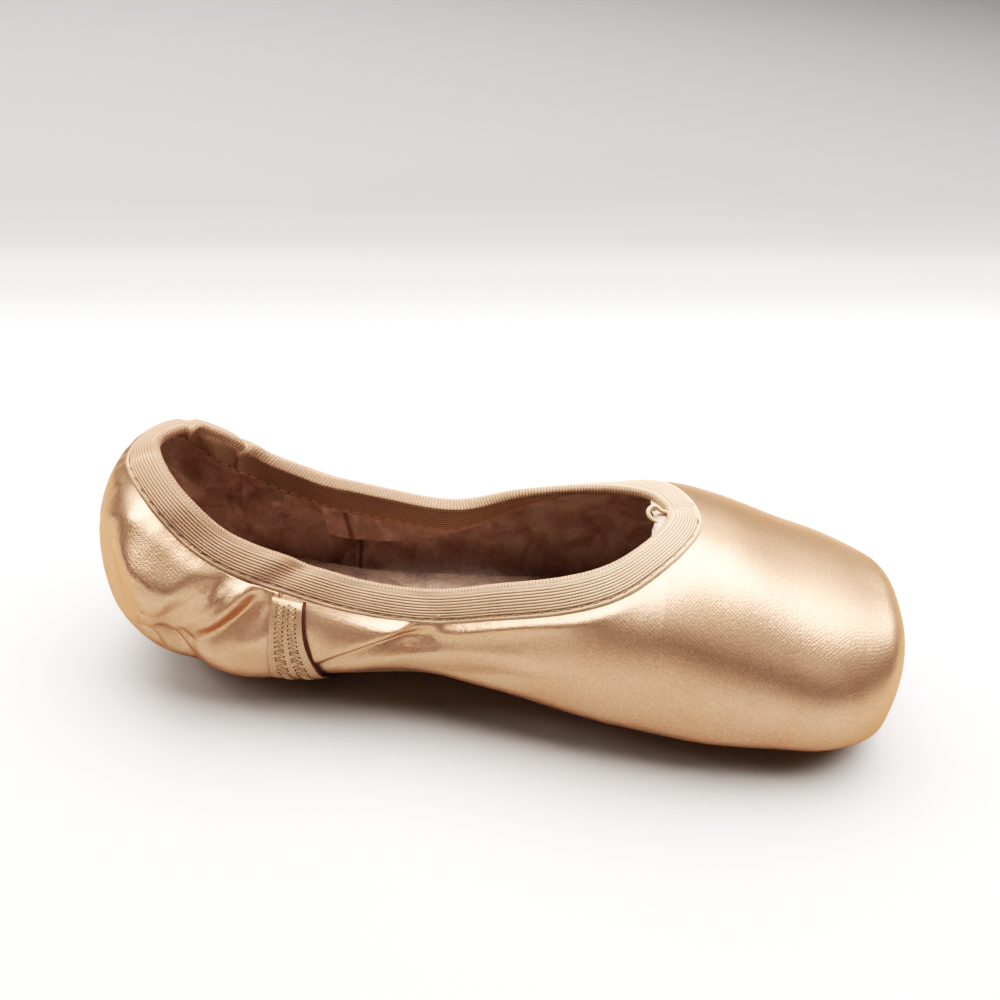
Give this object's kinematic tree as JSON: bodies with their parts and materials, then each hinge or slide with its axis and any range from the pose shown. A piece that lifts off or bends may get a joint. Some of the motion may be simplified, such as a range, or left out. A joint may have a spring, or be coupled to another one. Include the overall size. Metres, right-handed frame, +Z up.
{
  "type": "pointe shoe",
  "caption": "Satin ballet shoe with a stiff flat-tipped toe box, a leather outsole, a folded knit binding round the collar and a stretch satin heel.",
  "frame": {"origin": "centre of the shoe's box in plan, on the plane that heel and ball stand on", "axes": "+X from the heel to the flat tip of the toe, +Y to the shoe's left, +Z up"},
  "size_m": [0.235, 0.078, 0.0694],
  "materials": {
    "satin": "peach satin with a soft gloss",
    "knit_tape": "ribbed elastic tape, matt",
    "outsole_leather": "sueded split leather",
    "insole_cloth": "brushed cotton over board",
    "cotton_cord": "braided cotton"
  },
  "bodies": {
    "root": {"outsole": "outsole_leather", "insole": "insole_cloth", "upper": "satin", "heel_panel": "satin", "side_seam_band_left": "satin", "side_seam_band_right": "satin", "binding": "knit_tape", "drawstring_loop": "cotton_cord"}
  },
  "joints": []
}
